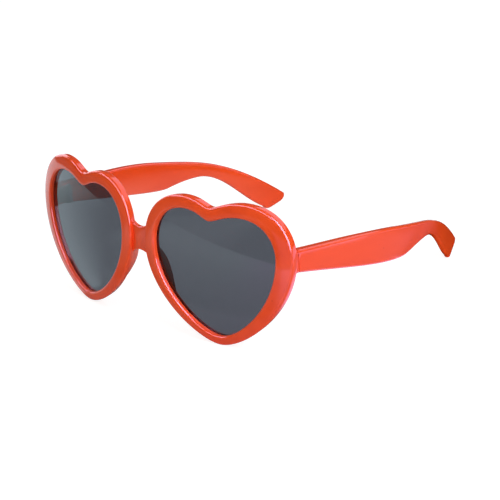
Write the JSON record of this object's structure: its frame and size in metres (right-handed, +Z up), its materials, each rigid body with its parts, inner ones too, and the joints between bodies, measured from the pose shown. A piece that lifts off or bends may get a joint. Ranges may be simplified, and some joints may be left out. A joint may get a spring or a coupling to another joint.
{
  "type": "sunglasses",
  "caption": "Heart shaped sunglasses with a moulded red frame, smoke grey lenses and folding temples.",
  "frame": {"origin": "on the ground, under the middle of the width and of the depth, with the temples open", "axes": "+Z up, -Y where the front looks, +Y towards the wearer's ears, +X towards the wearer's left"},
  "size_m": [0.1486, 0.1474, 0.062],
  "materials": {
    "red_frame": "glossy orange red moulded plastic",
    "smoke_lens": "clear smoke grey tint, polished",
    "hinge_steel": "bright plated"
  },
  "bodies": {
    "front": {"front_frame": "red_frame", "lens_left": "smoke_lens", "lens_right": "smoke_lens", "front_hinge_left": "hinge_steel", "front_hinge_right": "hinge_steel", "hinge_screw_left": "hinge_steel", "hinge_screw_right": "hinge_steel"},
    "left_temple": {"temple_left": "red_frame", "temple_hinge_left": "hinge_steel"},
    "right_temple": {"temple_right": "red_frame", "temple_hinge_right": "hinge_steel"}
  },
  "joints": [
    {"name": "left_temple_fold", "type": "hinge", "parent": "front", "child": "left_temple", "pos_m": [0.0646, -0.0531, 0.0392], "axis": [0, 0, 1], "range_deg": [0, 85]},
    {"name": "right_temple_fold", "type": "hinge", "parent": "front", "child": "right_temple", "pos_m": [-0.0646, -0.0531, 0.0392], "axis": [0, 0, -1], "range_deg": [0, 76]}
  ]
}
